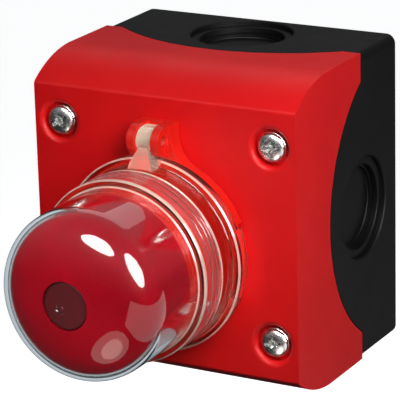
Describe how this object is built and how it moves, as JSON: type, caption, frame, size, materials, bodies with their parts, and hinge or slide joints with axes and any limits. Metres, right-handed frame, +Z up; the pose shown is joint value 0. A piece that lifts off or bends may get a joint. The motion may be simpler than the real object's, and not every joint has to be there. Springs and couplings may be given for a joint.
{
  "type": "emergency stop button",
  "caption": "Emergency stop push button in a red and black surface enclosure, with a mushroom head under a clear domed guard cap that pulls off forward.",
  "frame": {"origin": "centre of the enclosure's back, on the wall plane", "axes": "+Y points into the wall, along the button's push; -Y is the front; +Z is up the wall, towards the guard's ears; +X is to the right seen from the front"},
  "size_m": [0.072, 0.1045, 0.08],
  "materials": {
    "red_plastic": "satin",
    "red_gloss": "polished",
    "dark_red": "satin",
    "black_plastic": "fine satin",
    "grey_plastic": "matt",
    "clear_plastic": "clear polished plastic",
    "black_rubber": "matt",
    "zinc": "bright zinc plated",
    "steel": "drawn",
    "brass": "bare"
  },
  "bodies": {
    "enclosure": {"base_shell": "black_plastic", "cover_shell": "red_plastic", "cover_gasket": "black_rubber", "cover_screw_1": "zinc", "cover_screw_2": "zinc", "cover_screw_3": "zinc", "cover_screw_4": "zinc", "guard_bracket": "red_plastic", "guard_pin": "zinc", "actuator_body": "red_plastic", "bracket_seal": "black_rubber", "thrust_washer": "steel", "lock_nut": "black_plastic", "latch_ring": "steel", "stem_seal": "black_rubber", "return_spring": "steel", "contact_carrier": "black_plastic", "contact_housing_a": "grey_plastic", "contact_housing_b": "grey_plastic", "fixed_contact_a1": "brass", "fixed_contact_a2": "brass", "fixed_contact_b1": "brass", "fixed_contact_b2": "brass", "terminal_screw_a1": "zinc", "terminal_screw_a2": "zinc", "terminal_screw_b1": "zinc", "terminal_screw_b2": "zinc", "contact_spring_a": "steel", "contact_spring_b": "steel"},
    "guard": {"guard_cap": "clear_plastic"},
    "head": {"mushroom_head": "red_gloss", "head_insert": "dark_red", "push_stem": "black_plastic", "retaining_clip": "steel", "pusher_plate": "black_plastic"},
    "contact_a": {"contact_plunger_a": "red_plastic", "contact_bridge_a": "brass"},
    "contact_b": {"contact_plunger_b": "red_plastic", "contact_bridge_b": "brass"}
  },
  "joints": [
    {"name": "guard_pull_off", "type": "slide", "parent": "enclosure", "child": "guard", "axis": [0, -1, 0], "range_m": [0, 0.045]},
    {"name": "head_push", "type": "slide", "parent": "enclosure", "child": "head", "axis": [0, 1, 0], "range_m": [0, 0.005], "deforming": ["return_spring"]},
    {"name": "contact_a_push", "type": "slide", "parent": "enclosure", "child": "contact_a", "axis": [0, 1, 0], "range_m": [0, 0.005], "deforming": ["contact_spring_a"]},
    {"name": "contact_b_push", "type": "slide", "parent": "enclosure", "child": "contact_b", "axis": [0, 1, 0], "range_m": [0, 0.005], "deforming": ["contact_spring_b"]}
  ],
  "couplings": [
    {"joint": "contact_a_push", "follows": "head_push", "ratio": 1},
    {"joint": "contact_b_push", "follows": "head_push", "ratio": 1}
  ]
}
